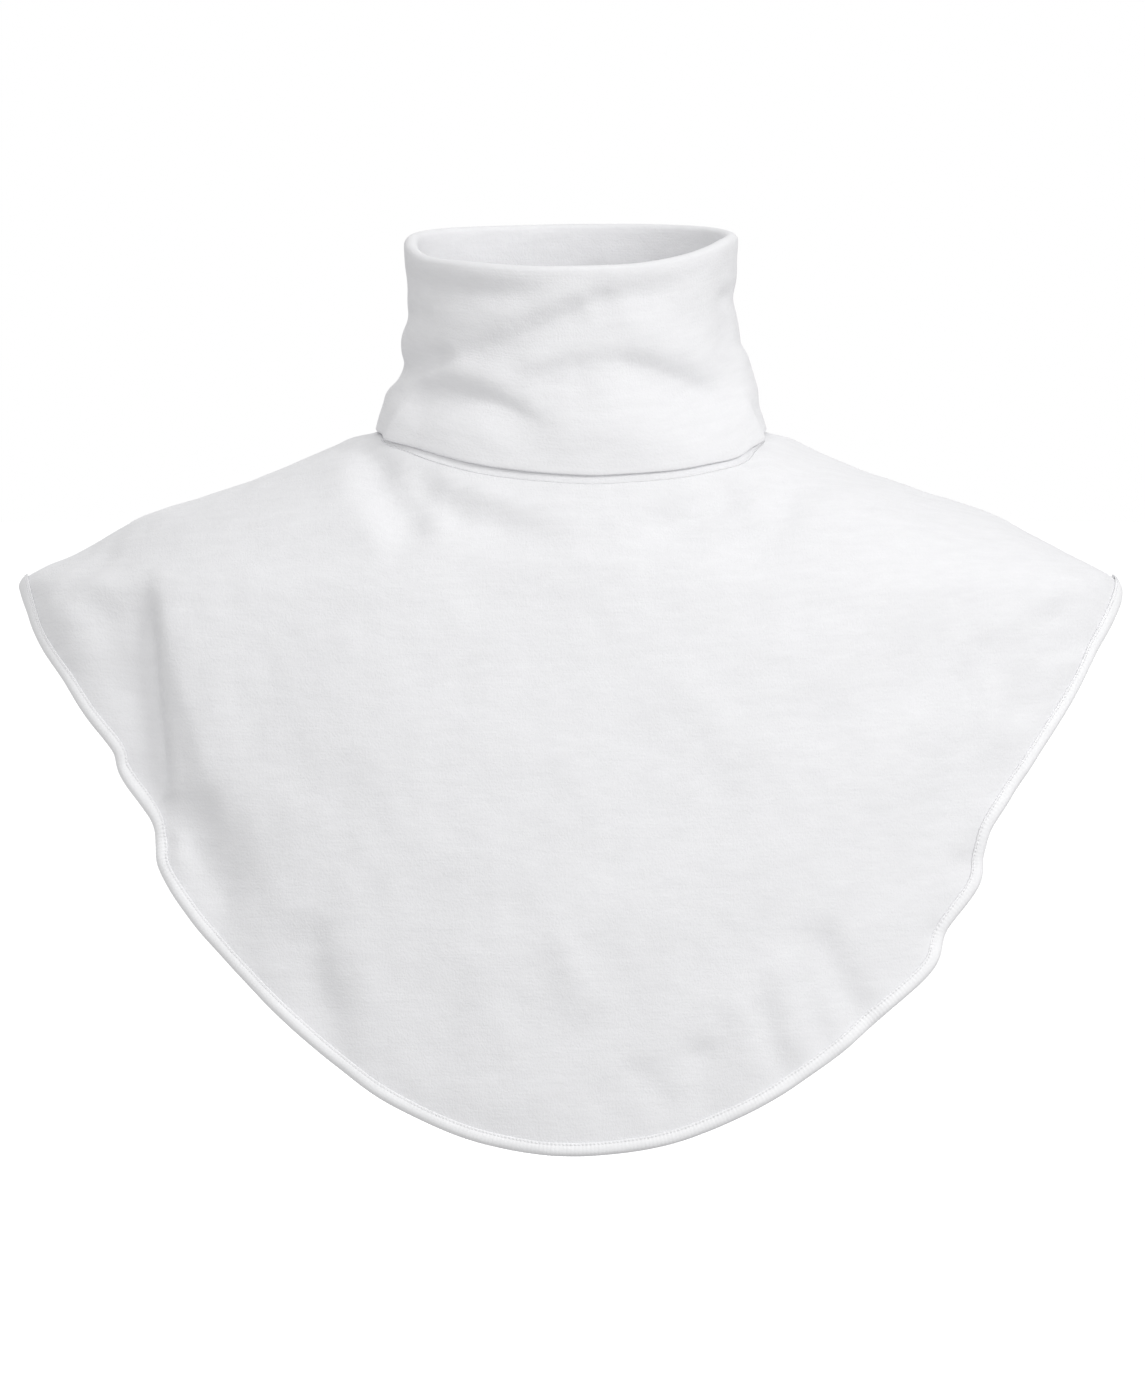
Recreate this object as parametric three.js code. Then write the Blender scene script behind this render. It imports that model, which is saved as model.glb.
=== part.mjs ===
import * as THREE from "three";

// A plain turtleneck dickey as it sits when worn: a doubled jersey collar that is turned down once,
// a round bib over the shoulders, chest and upper back, and a narrow binding round the bib's hem.
// Millimetres, +Z up. The front faces -Y. Left and right are as seen from there, so right is +X.
// The origin is the middle of the neck, level with the neck seam at the sides.
// Angles run round the neck: 0 at the front middle, 90 at +X, 180 at the back middle.

// Cloth
const BIB_WALL = 1.5;
const COLLAR_WALL = 2.2;
const COLLAR_LAYER_GAP = 1.2;
const PIECE_GAP = 0.4;

// Collar. Its turned-down edge lies just above the neck seam and just off the bib's slope.
const EDGE_LIFT_FRONT = 3.3;
const EDGE_LIFT_SIDE = 1.6;
const EDGE_STAND_OFF = 2.6;
const EDGE_FLARE = 0.35;
const CORNER_TWIST = 10;
const STAND_BEND = 0.06;
const RIM_FADE = 0.12;
const EDGE_FADE = 0.06;
const RIM_TURNS = [155, 90, 25];

// Hem binding: a strip folded over the bib's cut edge
const BINDING_WALL = 1;
const BINDING_LAP = 3.2;
const BINDING_NOSE = 2.1;

// Half of the binding's section: how far each place lies past the cut edge, and how far off the bib's face.
const BINDING_HALF = [
  { out: PIECE_GAP, off: PIECE_GAP },
  { out: -BINDING_LAP, off: PIECE_GAP },
  { out: 0.3 - BINDING_LAP, off: PIECE_GAP + 0.85 * BINDING_WALL },
  { out: 0.2, off: PIECE_GAP + BINDING_WALL },
  { out: 0.75 * BINDING_NOSE, off: 0.5 * BINDING_WALL },
];

// How closely each column of the bib's cloth keeps to one angle from the seam to the hem
const COLUMN_UPRIGHT = 0.8;

// How far folds run on behind the sides, as a cosine
const SIDE_REACH = 0.35;
const SIDE_START = 0.1;

// Mesh resolution
const FRONT_QUARTER_COLUMNS = 25;
const BACK_QUARTER_COLUMNS = 17;
const BIB_ROWS = 11;
const HEM_ROW = 6;
const TIP_CROWDING = 0.3;
const COLLAR_COLUMNS = 52;
const COLLAR_ROWS = [0.04, 0.17, 0.33, 0.47, 0.61, 0.76, 0.91];
const HEM_SAMPLES = 720;
const ROUTE_SAMPLES = 16;
const ROUTE_END = 0.04;
const HEM_CURVE_RADIUS = 100;

// The bib's outer face in level sections, each two half ellipses with one width.
const BODY_SECTIONS = [
  { z: -300, halfWidth: 229, front: 131, back: 104 },
  { z: -250, halfWidth: 229, front: 133, back: 106 },
  { z: -200, halfWidth: 229, front: 129, back: 110 },
  { z: -150, halfWidth: 228, front: 121, back: 113 },
  { z: -100, halfWidth: 225, front: 108, back: 111 },
  { z: -60, halfWidth: 218.5, front: 93, back: 101 },
  { z: -46, halfWidth: 194, front: 86, back: 95 },
  { z: -36, halfWidth: 175.5, front: 81, back: 90 },
  { z: -31, halfWidth: 164, front: 78.5, back: 87 },
  { z: -17, halfWidth: 121.5, front: 69.5, back: 77 },
  { z: -7, halfWidth: 96, front: 63, back: 69 },
  { z: -2.4, halfWidth: 87, front: 60, back: 65.5 },
  { z: -0.3, halfWidth: 78.8, front: 58.6, back: 63.6 },
  { z: 2, halfWidth: 75, front: 57.4, back: 62.4 },
  { z: 12, halfWidth: 70, front: 53, back: 58 },
];

// The bib's cut edge: across and height of each place, the depth following from the sections above.
// The front runs from the left shoulder tip to the right one.
const SHOULDER_TIP = { x: 218.5, z: -60 };
const FRONT_HEM = [
  { x: -214.5, z: -67.5 },
  { x: -204.8, z: -85.5 },
  { x: -192, z: -103 },
  { x: -177.8, z: -120.5 },
  { x: -175.8, z: -129 },
  { x: -162.2, z: -146.5 },
  { x: -159.6, z: -156.5 },
  { x: -157.2, z: -165.8 },
  { x: -145.6, z: -183.1 },
  { x: -129.2, z: -200.5 },
  { x: -112, z: -217.6 },
  { x: -91, z: -235 },
  { x: -64.7, z: -252.5 },
  { x: -31.5, z: -265.5 },
  { x: 0, z: -269.5 },
  { x: 36, z: -265.7 },
  { x: 69.5, z: -252.8 },
  { x: 97.6, z: -235.6 },
  { x: 119.3, z: -218.1 },
  { x: 138.2, z: -201.5 },
  { x: 144, z: -188 },
  { x: 156.8, z: -170 },
  { x: 158.4, z: -160 },
  { x: 161, z: -150 },
  { x: 172.2, z: -134 },
  { x: 185.2, z: -116.3 },
  { x: 197.4, z: -98.6 },
  { x: 207.6, z: -81 },
  { x: 216.2, z: -66.5 },
];

// The back: how far the middle hangs below the shoulder tips, and how round the curve between them is.
const BACK_HEM_DROP = 133;
const BACK_HEM_POWER = 0.83;
const BACK_HEM_STEP = 30;

// Folds of the bib. Each runs from one place to another by way of a third, all given as across and height.
// A fold that stands proud has a positive rise, and a hollow has a negative one.
const BIB_FOLDS = [
  { name: "armpit left", from: [-168, -62], via: [-166, -104], to: [-157, -150], width: 12, rise: -4.5 },
  { name: "chest edge left", from: [-160, -60], via: [-148, -105], to: [-118, -172], width: 20, rise: 4 },
  { name: "arm hollow left", from: [-190, -66], via: [-185, -88], to: [-179, -108], width: 11, rise: -2.5 },
  { name: "neck pull left", from: [-78, -8], via: [-67, -32], to: [-50, -50], width: 9, rise: -3 },
  { name: "neck swag left", from: [-60, -18], via: [-42, -33], to: [-8, -42], width: 9, rise: -2.5 },
  { name: "neck pull right", from: [72, -24], via: [52, -36], to: [32, -40], width: 9, rise: -2.5 },
  { name: "neck swag right", from: [78, -20], via: [70, -40], to: [44, -50], width: 9, rise: -2 },
  { name: "chest hollow right", from: [160, -62], via: [143, -90], to: [122, -122], width: 15, rise: -3 },
  { name: "side hollow right", from: [163, -72], via: [158, -125], to: [138, -182], width: 14, rise: -3.5 },
  { name: "arm hollow right", from: [190, -70], via: [196, -80], to: [200, -88], width: 10, rise: -2 },
  { name: "hem wave right", from: [98, -196], via: [108, -212], to: [114, -222], width: 13, rise: -3.5 },
  { name: "hem ridge right", from: [84, -200], via: [90, -222], to: [84, -240], width: 13, rise: 2.5 },
  { name: "hem wave left", from: [-102, -192], via: [-98, -214], to: [-92, -230], width: 13, rise: -3.2 },
  { name: "hem wave middle", from: [52, -232], via: [53, -246], to: [52, -256], width: 12, rise: -2.2 },
];

// The neck seam, where the collar's stand joins the bib. It dips in front.
const SEAM_HEIGHTS = [
  { turn: -180, height: 4 },
  { turn: -135, height: 2.6 },
  { turn: -90, height: -0.3 },
  { turn: -68, height: -1.5 },
  { turn: -51, height: -4.5 },
  { turn: -41, height: -7 },
  { turn: -30, height: -10.6 },
  { turn: -14, height: -15.6 },
  { turn: 2.5, height: -18.3 },
  { turn: 11, height: -17.7 },
  { turn: 21, height: -16.1 },
  { turn: 30, height: -13.7 },
  { turn: 40, height: -10.8 },
  { turn: 51, height: -6.8 },
  { turn: 67, height: -2.5 },
  { turn: 90, height: -0.3 },
  { turn: 135, height: 2.6 },
  { turn: 180, height: 4 },
];

// The rim's top round the neck. It dips in front, lowest a little left of the middle.
const RIM_HEIGHTS = [
  { turn: -180, height: 83.1 },
  { turn: -150, height: 82.2 },
  { turn: -120, height: 80.8 },
  { turn: -95, height: 78 },
  { turn: -75, height: 72.8 },
  { turn: -60, height: 69.6 },
  { turn: -40, height: 67.9 },
  { turn: -15, height: 66.1 },
  { turn: 10, height: 66.3 },
  { turn: 25, height: 67.3 },
  { turn: 42, height: 70.1 },
  { turn: 58, height: 73.7 },
  { turn: 72, height: 77 },
  { turn: 95, height: 79.5 },
  { turn: 120, height: 81.7 },
  { turn: 150, height: 83 },
  { turn: 180, height: 83.1 },
];

// The collar's outer face, from the turned-down edge at height 0 to the rim at height 1.
const COLLAR_SECTIONS = [
  { height: 0, halfWidth: 77.6, front: 70.5, back: 64 },
  { height: 0.12, halfWidth: 75, front: 68.5, back: 62.5 },
  { height: 0.25, halfWidth: 71.7, front: 66, back: 61 },
  { height: 0.4, halfWidth: 68.1, front: 63, back: 59.5 },
  { height: 0.55, halfWidth: 66.4, front: 61, back: 58.5 },
  { height: 0.7, halfWidth: 65.4, front: 59, back: 58 },
  { height: 0.85, halfWidth: 65.6, front: 58, back: 57.5 },
  { height: 1, halfWidth: 66.5, front: 57.5, back: 57.5 },
];

// Folds of the collar, in the same columns.
const COLLAR_FOLDS = [
  { name: "long diagonal", from: [-47, 34], via: [-8, 48], to: [38, 66], width: 8, rise: -2.6 },
  { name: "upper left", from: [-50, 66], via: [-28, 58], to: [-6, 63], width: 8, rise: -1.2 },
  { name: "arch right", from: [-20, 31], via: [22, 34], to: [66, 16], width: 8, rise: -2.6 },
  { name: "lower left hollow", from: [-50, 26], via: [-34, 12], to: [-12, 9], width: 8, rise: -2.8 },
  { name: "lower left ridge", from: [-44, 31], via: [-22, 22], to: [-6, 10], width: 8, rise: 1.8 },
  { name: "side roll left", from: [-74, 16], via: [-66, 14], to: [-56, 6], width: 8, rise: 2.6 },
  { name: "side roll right", from: [62, 32], via: [68, 24], to: [74, 12], width: 8, rise: 2.2 },
];

// Colours and finish
const BODY_WHITE = 0xeff0f3;
const BINDING_WHITE = 0xf2f3f5;
const KNIT_ROUGHNESS = 0.95;

const radians = THREE.MathUtils.degToRad;
const lerp = THREE.MathUtils.lerp;

// A column's value between the rows of a table, on a smooth curve through them.
function smoothColumn(rows, key, column, at) {
  const last = rows.length - 1;
  const slope = (i) => {
    const a = rows[Math.max(i - 1, 0)];
    const b = rows[Math.min(i + 1, last)];
    return (b[column] - a[column]) / (b[key] - a[key]);
  };
  let i = 0;
  while (i < last - 1 && at > rows[i + 1][key]) i += 1;
  const span = rows[i + 1][key] - rows[i][key];
  const t = THREE.MathUtils.clamp((at - rows[i][key]) / span, 0, 1);
  const rise = 3 * t * t - 2 * t * t * t;
  const leave = t * (1 - t) * (1 - t) * span;
  const arrive = -t * t * (1 - t) * span;
  return lerp(rows[i][column], rows[i + 1][column], rise) + slope(i) * leave + slope(i + 1) * arrive;
}

// The place at an angle round a level section, made larger all round by grow.
function sectionPoint(rows, key, at, angle, z, grow = 0) {
  const across = smoothColumn(rows, key, "halfWidth", at) + grow;
  const depth = smoothColumn(rows, key, Math.cos(angle) > 0 ? "front" : "back", at) + grow;
  return new THREE.Vector3(across * Math.sin(angle), -depth * Math.cos(angle), z);
}

const bodyPoint = (angle, z) => sectionPoint(BODY_SECTIONS, "z", z, angle, z);

// How far a place, across and height, is raised by a table of folds.
function foldRise(folds, x, z) {
  let total = 0;
  for (const { from, via, to, width, rise } of folds) {
    let best = Infinity;
    let along = 0;
    for (let i = 0; i <= ROUTE_SAMPLES; i += 1) {
      const t = i / ROUTE_SAMPLES;
      const [a, b, c] = [(1 - t) * (1 - t), 2 * t * (1 - t), t * t];
      const dx = a * from[0] + b * via[0] + c * to[0] - x;
      const dz = a * from[1] + b * via[1] + c * to[1] - z;
      const far = Math.hypot(dx, dz);
      if (far < best) {
        best = far;
        along = t;
      }
    }
    const fade = Math.sqrt(Math.sin(Math.PI * THREE.MathUtils.clamp(along, ROUTE_END, 1 - ROUTE_END)));
    total += rise * fade * Math.exp(-((best / width) ** 2));
  }
  return total;
}

// How far the front's folds reach past the sides: whole in front, and gone a little way behind.
const frontShare = (angle) => THREE.MathUtils.smoothstep(Math.cos(angle), -SIDE_REACH, SIDE_START);

// A closed skin over sections that run round a ring, each a closed loop of as many points.
// Each four-cornered face is split along one diagonal, or the other where a neighbour's split asks for it.
function ringSolid(name, color, sections, otherSplit = false) {
  const round = sections.length;
  const loop = sections[0].length;
  const index = [];
  for (let i = 0; i < round; i += 1) {
    for (let k = 0; k < loop; k += 1) {
      const a = i * loop + k;
      const b = i * loop + ((k + 1) % loop);
      const c = ((i + 1) % round) * loop + k;
      const d = ((i + 1) % round) * loop + ((k + 1) % loop);
      index.push(...(otherSplit ? [a, b, c, b, d, c] : [a, b, d, a, d, c]));
    }
  }
  const geometry = new THREE.BufferGeometry().setFromPoints(sections.flat());
  geometry.setIndex(index);
  geometry.computeVertexNormals();
  const material = new THREE.MeshStandardMaterial({ color, roughness: KNIT_ROUGHNESS, metalness: 0 });
  const mesh = new THREE.Mesh(geometry, material);
  mesh.name = name;
  return mesh;
}

// The height of the neck seam at an angle.
function seamHeight(angle) {
  const turn = THREE.MathUtils.euclideanModulo(THREE.MathUtils.radToDeg(angle) + 180, 360) - 180;
  return smoothColumn(SEAM_HEIGHTS, "turn", "height", turn);
}

// The bib's cut edge all round, as angles and heights, from the left shoulder tip past the front middle.
function hemRing() {
  const turnOf = ({ x, z }) => Math.asin(x / smoothColumn(BODY_SECTIONS, "z", "halfWidth", z));
  const ring = [{ angle: -Math.PI / 2, z: SHOULDER_TIP.z }];
  FRONT_HEM.forEach((row) => ring.push({ angle: turnOf(row), z: row.z }));
  ring.push({ angle: Math.PI / 2, z: SHOULDER_TIP.z });
  for (let x = 7 * BACK_HEM_STEP; x >= -7 * BACK_HEM_STEP; x -= BACK_HEM_STEP) {
    const share = 1 - (x / SHOULDER_TIP.x) ** 2;
    const z = SHOULDER_TIP.z - BACK_HEM_DROP * share ** BACK_HEM_POWER;
    ring.push({ angle: Math.PI - turnOf({ x, z }), z });
  }
  return ring;
}

// Places along the cut edge in each quarter from a shoulder tip to a middle, closer together at the tips.
// Each also gets the angle on the neck seam that its column of cloth starts from.
function hemColumns() {
  const ring = hemRing().map(({ angle, z }) => {
    return new THREE.Vector3(Math.cos(angle), Math.sin(angle), 0).multiplyScalar(HEM_CURVE_RADIUS).setZ(z);
  });
  const curve = new THREE.CatmullRomCurve3(ring, true, "centripetal");
  const samples = [];
  let angle = -Math.PI / 2;
  let length = 0;
  for (let i = 0; i <= HEM_SAMPLES; i += 1) {
    const p = curve.getPoint(i / HEM_SAMPLES);
    const raw = Math.atan2(p.y, p.x);
    angle = raw + 2 * Math.PI * Math.round((angle - raw) / (2 * Math.PI));
    const place = bodyPoint(angle, p.z);
    length += i ? place.distanceTo(samples[i - 1].place) : 0;
    samples.push({ angle, z: p.z, place, length });
  }
  const sampleAt = (key, value) => {
    const found = samples.findIndex((s) => s[key] >= value);
    const i = found < 0 ? HEM_SAMPLES : Math.max(1, found);
    const [a, b] = [samples[i - 1], samples[i]];
    const t = THREE.MathUtils.clamp((value - a[key]) / (b[key] - a[key]), 0, 1);
    return { angle: lerp(a.angle, b.angle, t), z: lerp(a.z, b.z, t), length: lerp(a.length, b.length, t) };
  };
  const quarters = [FRONT_QUARTER_COLUMNS, FRONT_QUARTER_COLUMNS, BACK_QUARTER_COLUMNS, BACK_QUARTER_COLUMNS];
  return quarters.flatMap((count, quarter) => {
    const first = 90 * (quarter - 1);
    const start = sampleAt("angle", radians(first)).length;
    const end = sampleAt("angle", radians(first + 90)).length;
    const lean = quarter % 2 === 0 ? -TIP_CROWDING : TIP_CROWDING;
    return Array.from({ length: count }, (_, i) => {
      const share = i / count + (lean * Math.sin((Math.PI * i) / count)) / Math.PI;
      const hem = sampleAt("length", lerp(start, end, share));
      const neckAngle = lerp(radians(first + (90 * i) / count), hem.angle, COLUMN_UPRIGHT);
      return { neckAngle, hemAngle: hem.angle, hemZ: hem.z };
    });
  });
}

// The bib's outer face: a column of points from the neck seam to the hem for each place round the hem.
function bibFace() {
  const smooth = hemColumns().map(({ neckAngle, hemAngle, hemZ }) => {
    const neckZ = seamHeight(neckAngle);
    const place = (t) => bodyPoint(lerp(neckAngle, hemAngle, t), lerp(neckZ, hemZ, t));
    const lastRow = 1 / BIB_ROWS;
    const length = place(1 - lastRow).distanceTo(place(1)) / lastRow;
    const shares = Array.from({ length: BIB_ROWS }, (_, k) => k / BIB_ROWS);
    return [...shares, 1 - HEM_ROW / length, 1].map(place);
  });
  const normals = faceNormals(smooth);
  return smooth.map((column, i) =>
    column.map((p, k) => {
      const nearSeam = Math.min(1, k / 2);
      const share = nearSeam * frontShare(Math.atan2(p.x, -p.y));
      return p.clone().addScaledVector(normals[i][k], share * foldRise(BIB_FOLDS, p.x, p.z));
    }),
  );
}

// Outward normals at the points of a face whose columns close round a ring.
function faceNormals(columns) {
  const round = columns.length;
  return columns.map((column, i) => {
    const before = columns[(i + round - 1) % round];
    const after = columns[(i + 1) % round];
    return column.map((_, k) => {
      const across = after[k].clone().sub(before[k]);
      const down = column[Math.min(k + 1, column.length - 1)].clone().sub(column[Math.max(k - 1, 0)]);
      return down.cross(across).normalize();
    });
  });
}

// The bib: the outer face, then the inner face a wall's thickness under it.
function makeBib(face, normals) {
  const sections = face.map((outer, i) => {
    const inner = outer.map((p, k) => p.clone().addScaledVector(normals[i][k], -BIB_WALL));
    return [...outer, ...inner.reverse()];
  });
  return ringSolid("bib", BODY_WHITE, sections);
}

// The binding: a U-shaped section that laps both faces of the bib at its cut edge.
function makeBinding(face, normals) {
  const sections = face.map((column, i) => {
    const end = column.length - 1;
    const normal = normals[i][end];
    const side = (depth, sign) => {
      const edge = column[end].clone().addScaledVector(normal, -depth);
      const above = column[end - 1].clone().addScaledVector(normals[i][end - 1], -depth);
      const outward = edge.clone().sub(above).normalize();
      return BINDING_HALF.map(({ out, off }) => {
        return edge.clone().addScaledVector(outward, out).addScaledVector(normal, sign * off);
      });
    };
    const outer = side(0, 1);
    const inner = side(BIB_WALL, -1);
    const nose = outer[0].clone().lerp(inner[0], 0.5);
    nose.add(outer[0].clone().sub(outer[1]).normalize().multiplyScalar(BINDING_NOSE));
    return [...outer, nose, ...inner.reverse()];
  });
  return ringSolid("hem_binding", BINDING_WHITE, sections, true);
}

// The collar: up the stand, over the rim and down the turned-down layer, as one folded wall.
function makeCollar() {
  const layer = COLLAR_WALL + COLLAR_LAYER_GAP;
  const rimRadius = (2 * COLLAR_WALL + COLLAR_LAYER_GAP) / 2;
  const standHeights = COLLAR_ROWS.slice(1);
  const falling = COLLAR_ROWS.toReversed();
  const sections = Array.from({ length: COLLAR_COLUMNS }, (_, column) => {
    const turn = (360 * column) / COLLAR_COLUMNS - 180;
    const angle = radians(turn);
    // On the bib, the corners of the neck opening lie nearer the front than on the round band above.
    const twist = Math.cos(angle) > 0 ? radians(CORNER_TWIST) * Math.sin(2 * angle) : 0;
    const lowAngle = angle - twist;
    const seam = seamHeight(lowAngle);
    const edge = seam + lerp(EDGE_LIFT_SIDE, EDGE_LIFT_FRONT, Math.cos(lowAngle) ** 2);
    const rim = smoothColumn(RIM_HEIGHTS, "turn", "height", turn) - rimRadius;
    const flare = sectionPoint(BODY_SECTIONS, "z", edge, lowAngle, edge, EDGE_STAND_OFF);
    flare.sub(sectionPoint(COLLAR_SECTIONS, "height", 0, angle, edge));
    const place = (height, inset, lift = 0) => {
      const z = lerp(edge, rim, height) + lift;
      const point = sectionPoint(COLLAR_SECTIONS, "height", height, angle, z, -inset);
      point.addScaledVector(flare, 1 - THREE.MathUtils.smoothstep(height, 0, EDGE_FLARE));
      const fade = Math.min(1, (1 - height) / RIM_FADE, height / EDGE_FADE);
      const rise = fade * frontShare(angle) * foldRise(COLLAR_FOLDS, point.x, z);
      point.x += rise * Math.sin(angle);
      point.y -= rise * Math.cos(angle);
      return point;
    };
    const foot = (inset) => sectionPoint(BODY_SECTIONS, "z", seam, lowAngle, seam + PIECE_GAP, -inset);
    const overRim = (radius, degrees) => {
      const swingIn = rimRadius - radius * Math.cos(radians(degrees));
      return place(1, swingIn, radius * Math.sin(radians(degrees)));
    };
    return [
      foot(COLLAR_WALL),
      place(STAND_BEND, layer + COLLAR_WALL),
      ...standHeights.map((h) => place(h, layer + COLLAR_WALL)),
      ...RIM_TURNS.map((degrees) => overRim(rimRadius, degrees)),
      ...falling.map((h) => place(h, 0)),
      place(0, 0.3 * COLLAR_WALL),
      place(0, 0.75 * COLLAR_WALL),
      ...COLLAR_ROWS.map((h) => place(h, COLLAR_WALL)),
      overRim(COLLAR_LAYER_GAP / 2, 90),
      ...falling.slice(0, -1).map((h) => place(h, layer)),
      place(STAND_BEND, layer),
      foot(0),
    ];
  });
  return ringSolid("collar", BODY_WHITE, sections);
}

const face = bibFace();
const normals = faceNormals(face);
const dickey = new THREE.Group();
dickey.add(makeCollar(), makeBib(face, normals), makeBinding(face, normals));

export default dickey;
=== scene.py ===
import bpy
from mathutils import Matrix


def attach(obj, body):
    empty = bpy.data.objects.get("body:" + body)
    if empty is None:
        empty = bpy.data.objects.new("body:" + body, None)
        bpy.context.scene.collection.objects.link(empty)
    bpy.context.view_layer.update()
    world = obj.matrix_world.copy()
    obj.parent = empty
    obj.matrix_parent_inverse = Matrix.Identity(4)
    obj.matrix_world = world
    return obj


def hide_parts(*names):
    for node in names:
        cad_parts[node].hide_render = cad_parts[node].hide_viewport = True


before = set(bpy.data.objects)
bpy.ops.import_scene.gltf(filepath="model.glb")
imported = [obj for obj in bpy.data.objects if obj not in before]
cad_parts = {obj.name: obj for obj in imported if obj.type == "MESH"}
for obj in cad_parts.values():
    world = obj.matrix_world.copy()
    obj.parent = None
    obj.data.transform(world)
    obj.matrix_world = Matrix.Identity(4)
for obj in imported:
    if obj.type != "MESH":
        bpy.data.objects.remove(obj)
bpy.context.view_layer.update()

import math

import bpy
import numpy as np
from mathutils import Vector

# A plain turtleneck dickey as it sits when worn. Sizes are in millimetres until a mesh is made.
# The front faces -Y. Left and right are as seen from there, so right is +X.
# Angles run round the neck: 0 at the front middle, a quarter turn at +X, half a turn at the back.
MM = 0.001


def table(columns, *rows):
    """Named columns of numbers from the rows of a table."""
    return {name: np.array(values, float) for name, values in zip(columns.split(), zip(*rows))}


def records(columns, *rows):
    """A list of rows, each with its values under the names of the columns."""
    return [dict(zip(columns.split(), row)) for row in rows]


# Cloth
BIB_WALL = 1.3
COLLAR_WALL = 2.2
COLLAR_LAYER_GAP = 1.2
PIECE_GAP = 0.4

# The collar's turned-down edge: how far above the seam it ends, less at the sides, where it
# settles on the bib, and how far off the bib it stands, with a bow at each corner
EDGE_LIFT_FRONT = 3.3
EDGE_LIFT_SIDE = 0.5
EDGE_SETTLE = 0.7
EDGE_STAND_OFF_FRONT = 1.8
EDGE_STAND_OFF_SIDE = 1.6
EDGE_CORNER_BOW = 2.2
EDGE_CORNER = math.radians(66)
EDGE_CORNER_SPREAD = math.radians(14)
EDGE_WALL = 1.5
# Over this share of the collar's height it goes from the bib's outline to its own
EDGE_FLARE = 0.35
# Over this share the turned layer goes from the edge's wall to its full one
EDGE_TAPER = 0.12
# Over these shares its folds fade out towards the rim and the edge, and its unevenness fades to
# LEAST_RIPPLE of itself
RIM_FADE = 0.16
EDGE_FADE_LOW, EDGE_FADE_HIGH = -0.1, 0.08
LEAST_RIPPLE = 0.3
# The stand bends just above the seam, this far out from its own face and lower than the edge
KNEE_OUT = 1.3
KNEE_DROP = 0.4
# From this share up the stand follows the collar's own outline
STAND_START = 0.12
# How far the corners of the neck opening are turned towards the front
CORNER_TWIST = math.radians(8)

# The hem binding, its puckers and its stitches. Near the shoulder tips it is wider and thinner.
BINDING_LAP = 3.2
BINDING_NOSE = 2.1
BINDING_SLACK = 0.12
TIP_REACH = 22
TIP_NOSE = 0.55
TIP_LAP = 0.15
TIP_THINNING = 0.4
PUCKER_RUN = 12
PUCKER_RISE = 0.07
PUCKER_SPREAD = 0.05
STITCH_PITCH = 1.5
STITCH_LINE = 2.6
STITCH_DIP = 0.2
STITCH_DIP_WIDTH = 0.55
STITCH_HEIGHT = 0.5
THREAD_LENGTH = STITCH_PITCH * 0.74
THREAD_WIDTH = 0.42
THREAD_THICKNESS = 0.36
THREAD_ARCH = 0.3

# How closely each column of the bib's cloth keeps to one angle from the seam to the hem
COLUMN_UPRIGHT = 0.8
# The share of a column that its first row takes, which keeps the cut edge crisp
CUT_EDGE_ROW = 0.001
# The hem is drawn as a smooth curve on a cylinder of this radius
HEM_CYLINDER = 100

# Folds: how far they run on behind the sides, as a cosine, the share of its run over which one
# rises or fades, how many widths away it still shows, and the height over which they fade out
# towards the seam
SIDE_REACH = 0.35
FOLD_FADE = 0.3
FOLD_REACH = 2.6
SEAM_FADE = 5

# The knit's own coordinates: on the bib they start at a height and are a little wider than the
# body, and round the collar they follow its mean radius
KNIT_START = -150
KNIT_WIDENING = 1.06
COLLAR_RADIUS = 64

# Mesh resolution
BIB_COLUMNS = 430
BIB_ROWS = 100
COLLAR_COLUMNS = 560
BINDING_COLUMNS = 3300
HEM_STEPS = 60
ROUTE_STEPS = 14
THREAD_SIDES = 6

# Faint unevenness of the cloth: how high it is, and how far apart its hills are
UNEVEN = "rise pitch seed"
BIB_UNEVENNESS = records(UNEVEN, (0.45, 46, 3), (0.16, 17, 4))
COLLAR_UNEVENNESS = records(UNEVEN, (0.3, 34, 7), (0.1, 13, 8))

# The bib's outer face in level sections, each two half ellipses with one width.
BODY_SECTIONS = table(
    "z half_width front back",
    (-300, 229, 131, 104),
    (-250, 229, 133, 106),
    (-200, 229, 129, 110),
    (-150, 228, 121, 113),
    (-100, 225, 108, 111),
    (-60, 218.5, 93, 101),
    (-46, 194, 86, 95),
    (-36, 175.5, 81, 90),
    (-31, 164, 78.5, 87),
    (-17, 121.5, 69.5, 77),
    (-7, 96, 63, 69),
    (-2.4, 87, 60, 65.5),
    (-0.3, 78.4, 58.8, 63.8),
    (2, 75, 57.5, 62.5),
    (12, 70, 53, 58),
)

# The bib's cut edge in front, across and height, from the left shoulder tip to the right one.
SHOULDER_TIP_X = 218.5
SHOULDER_TIP_Z = -60
FRONT_HEM = table(
    "x z",
    (-214.5, -67.5),
    (-204.8, -85.5),
    (-192, -103),
    (-177.8, -120.5),
    (-175.8, -129),
    (-162.2, -146.5),
    (-159.6, -156.5),
    (-157.2, -165.8),
    (-145.6, -183.1),
    (-129.2, -200.5),
    (-112, -217.6),
    (-91, -235),
    (-64.7, -252.5),
    (-31.5, -265.5),
    (0, -269.5),
    (36, -265.7),
    (69.5, -252.8),
    (97.6, -235.6),
    (119.3, -218.1),
    (138.2, -201.5),
    (144, -188),
    (156.8, -170),
    (158.4, -160),
    (161, -150),
    (172.2, -134),
    (185.2, -116.3),
    (197.4, -98.6),
    (207.6, -81),
    (216.2, -66.5),
)
# Behind, the cut edge drops this far in the middle, on a curve through places BACK_HEM_STEP
# apart, BACK_HEM_STEPS of them on each side.
BACK_HEM_DROP = 133
BACK_HEM_POWER = 0.83
BACK_HEM_STEP = 30
BACK_HEM_STEPS = 7

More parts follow.
